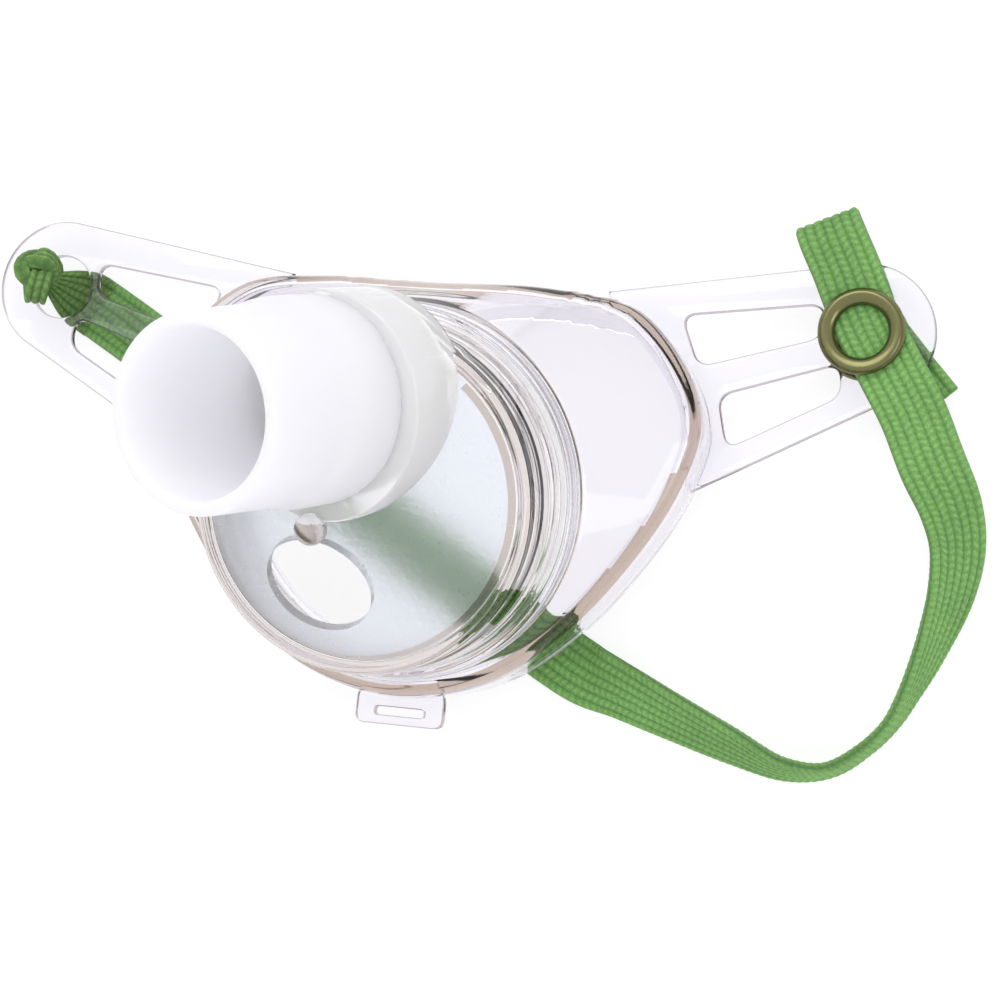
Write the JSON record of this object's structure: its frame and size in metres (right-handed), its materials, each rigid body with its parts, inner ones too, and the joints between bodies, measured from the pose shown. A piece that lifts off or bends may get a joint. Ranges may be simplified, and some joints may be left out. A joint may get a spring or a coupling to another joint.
{
  "type": "tracheostomy mask",
  "caption": "Child's clear tracheostomy mask with slotted side wings, a swivelling front turret, an angled white tube connector and an elastic neck strap.",
  "frame": {"origin": "middle of the mask's footprint, without the strap, on the plane that its rim lies on", "axes": "+Z out of the mask's front, away from the wearer's skin; +X from the knotted wing to the snap wing; +Y towards the wearer's chin"},
  "size_m": [0.1293, 0.068, 0.0609],
  "materials": {
    "clear_vinyl": "soft clear vinyl with a faint lavender cast, smooth and glossy",
    "clear_hard": "hard clear plastic, polished on the collar and side wall and lightly frosted on the face",
    "white_plastic": "white moulded plastic, satin",
    "green_elastic": "woven elastic tape with lengthwise ribs",
    "nickel": "nickel-plated pressed metal"
  },
  "bodies": {
    "mask": {"mask_shell": "clear_vinyl", "right_wing": "clear_vinyl", "left_wing": "clear_vinyl", "lower_tab": "clear_vinyl", "snap_ring": "nickel", "snap_back": "nickel", "strap_band": "green_elastic", "strap_knot": "green_elastic"},
    "turret": {"swivel_turret": "clear_hard"},
    "connector": {"tube_connector": "white_plastic"}
  },
  "joints": [
    {"name": "turret_swivel", "type": "hinge", "parent": "mask", "child": "turret", "pos_m": [0, -0.0028, 0.0162], "axis": [0, -0.1908, 0.9816], "continuous": true},
    {"name": "connector_swivel", "type": "hinge", "parent": "turret", "child": "connector", "pos_m": [-0.0032, 0.00582, 0.03316], "axis": [-0.2595, -0.2334, 0.9371], "continuous": true}
  ]
}
